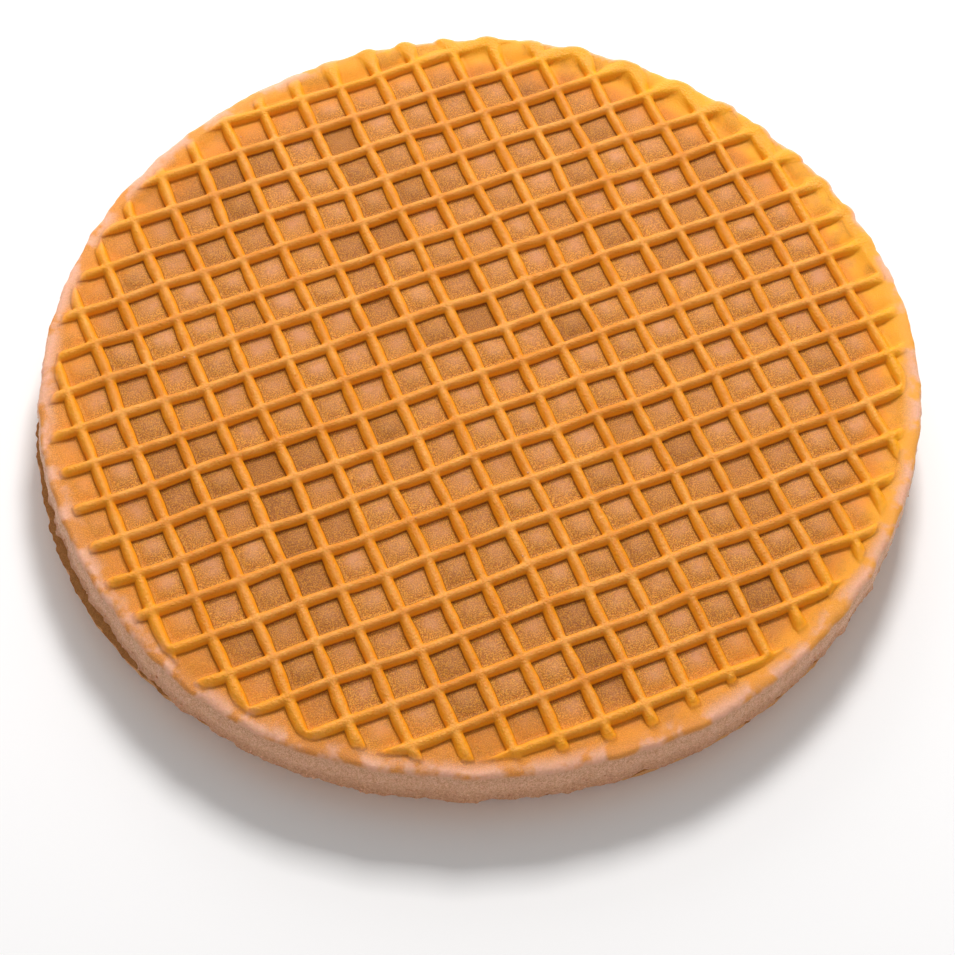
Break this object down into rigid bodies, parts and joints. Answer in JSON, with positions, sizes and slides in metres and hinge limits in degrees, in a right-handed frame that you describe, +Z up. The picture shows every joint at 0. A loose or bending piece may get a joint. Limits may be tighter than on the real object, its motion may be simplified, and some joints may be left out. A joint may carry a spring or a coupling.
{
  "type": "stroopwafel",
  "caption": "Round syrup waffle biscuit: thin waffle halves with a raised square grid on their outer faces and a layer of caramel syrup between them.",
  "frame": {"origin": "centre of the underside's box, on the plane of the lower grid's ridge crests", "axes": "+Z up through the layers, X and Y along the ridges of the baked grid"},
  "size_m": [0.0811, 0.0781, 0.0072],
  "materials": {
    "top_crust": "baked waffle crust, golden orange ridges, slightly browner and grainy pocket floors, soft satin",
    "syrup": "set caramel syrup, dark amber, smooth and glossy",
    "bottom_crust": "baked waffle crust, golden orange ridges, slightly browner and grainy pocket floors, soft satin"
  },
  "bodies": {
    "root": {"top_wafer": "top_crust", "syrup": "syrup", "bottom_wafer": "bottom_crust"}
  },
  "joints": []
}
